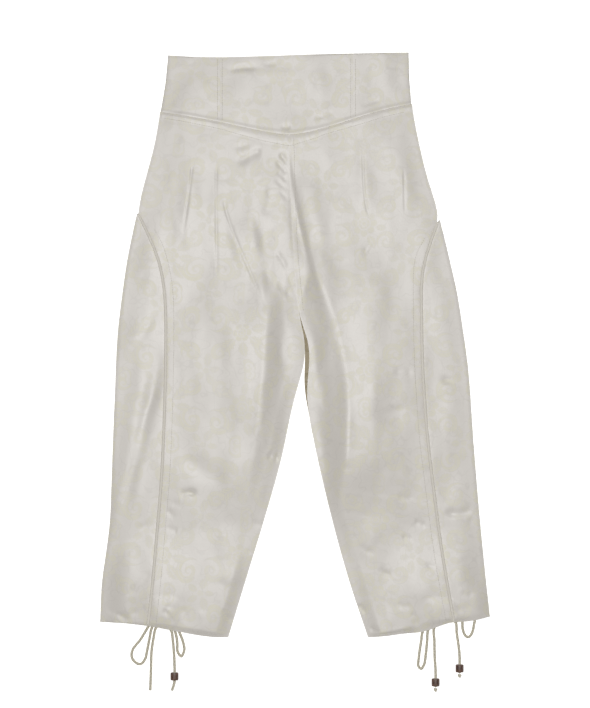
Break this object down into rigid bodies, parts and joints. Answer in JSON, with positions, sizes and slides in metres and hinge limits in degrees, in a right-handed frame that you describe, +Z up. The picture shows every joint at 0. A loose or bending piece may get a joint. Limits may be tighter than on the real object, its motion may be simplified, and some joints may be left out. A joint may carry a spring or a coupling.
{
  "type": "lace-up cropped pants",
  "caption": "High-waisted cropped pants of ivory scroll jacquard, laid flat: V-seamed waistband, curved piped side seams and tied laces with wooden beads at the hems.",
  "frame": {"origin": "under the middle of the garment, measured without the laces, on the surface that it lies on", "axes": "+Z up out of the front, +Y towards the waist, +X to the right of someone looking down on the front"},
  "size_m": [0.5846, 0.9576, 0.0124],
  "materials": {
    "jacquard": "ivory satin jacquard, tone on tone, soft sheen",
    "piping": "ivory satin over cord",
    "lace": "matt twisted cotton cord",
    "bead": "dark stained and waxed"
  },
  "bodies": {
    "root": {"front_left": "jacquard", "front_right": "jacquard", "back_left": "jacquard", "back_right": "jacquard", "side_panel_left": "jacquard", "side_panel_right": "jacquard", "waistband_front": "jacquard", "waistband_back": "jacquard", "waistband_side_left": "jacquard", "waistband_side_right": "jacquard", "piping_left": "piping", "piping_right": "piping", "knot_left": "lace", "knot_right": "lace", "lace_left_outer_loop": "lace", "lace_left_long_end": "lace", "lace_left_beaded_end": "lace", "lace_left_inner_loop": "lace", "lace_right_inner_loop": "lace", "lace_right_inner_end": "lace", "lace_right_outer_end": "lace", "lace_right_outer_loop": "lace", "stopper_right_inner_end": "lace", "stopper_right_outer_end": "lace", "bead_left_beaded_end": "bead", "bead_right_inner_end": "bead", "bead_right_outer_end": "bead"}
  },
  "joints": []
}
